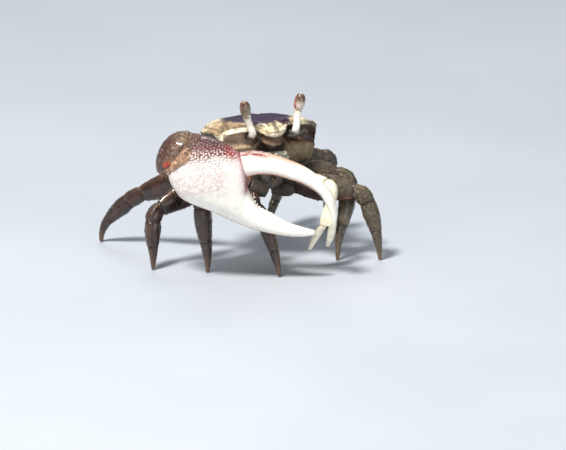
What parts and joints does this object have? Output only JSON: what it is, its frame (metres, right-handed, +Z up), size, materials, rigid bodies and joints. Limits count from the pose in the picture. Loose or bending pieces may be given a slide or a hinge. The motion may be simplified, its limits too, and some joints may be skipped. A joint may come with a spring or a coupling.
{
  "type": "fiddler crab",
  "caption": "Life-size male fiddler crab standing on bent walking legs, its great claw held across the front, its small claw lowered and its eyes raised on stalks.",
  "frame": {"origin": "middle of the footprint box, on the floor that the toes stand on", "axes": "+Z up, the crab faces -Y, and its right side, with the great claw, is towards -X"},
  "size_m": [0.0426, 0.0432, 0.03],
  "materials": {
    "shell": "wet cream and purple shell",
    "underside": "muddy brown shell",
    "leg": "wet dark brown shell",
    "great_claw": "white shell, smooth on the fingers",
    "wrist": "wet purplish brown shell",
    "small_claw": "pale cream shell",
    "eyestalk": "smooth white shell",
    "eye": "polished olive brown cornea"
  },
  "bodies": {
    "root": {"carapace": "shell", "chest": "underside", "abdomen": "underside", "mouth_door_right": "underside", "antenna_right": "underside", "eyestalk_right": "eyestalk", "eye_right": "eye", "mouth_door_left": "underside", "antenna_left": "underside", "eyestalk_left": "eyestalk", "eye_left": "eye", "leg_right_1_merus": "leg", "leg_right_1_carpus": "leg", "leg_right_1_propodus": "leg", "leg_right_1_dactyl": "leg", "leg_right_2_merus": "leg", "leg_right_2_carpus": "leg", "leg_right_2_propodus": "leg", "leg_right_2_dactyl": "leg", "leg_right_3_merus": "leg", "leg_right_3_carpus": "leg", "leg_right_3_propodus": "leg", "leg_right_3_dactyl": "leg", "leg_right_4_merus": "leg", "leg_right_4_carpus": "leg", "leg_right_4_propodus": "leg", "leg_right_4_dactyl": "leg", "leg_left_1_merus": "leg", "leg_left_1_carpus": "leg", "leg_left_1_propodus": "leg", "leg_left_1_dactyl": "leg", "leg_left_2_merus": "leg", "leg_left_2_carpus": "leg", "leg_left_2_propodus": "leg", "leg_left_2_dactyl": "leg", "leg_left_3_merus": "leg", "leg_left_3_carpus": "leg", "leg_left_3_propodus": "leg", "leg_left_3_dactyl": "leg", "leg_left_4_merus": "leg", "leg_left_4_carpus": "leg", "leg_left_4_propodus": "leg", "leg_left_4_dactyl": "leg", "great_claw_arm": "leg", "great_claw_wrist": "wrist", "great_claw_palm": "great_claw", "great_claw_finger": "great_claw", "small_claw_arm": "leg", "small_claw_wrist": "small_claw", "small_claw_palm": "small_claw", "small_claw_finger": "small_claw"}
  },
  "joints": []
}
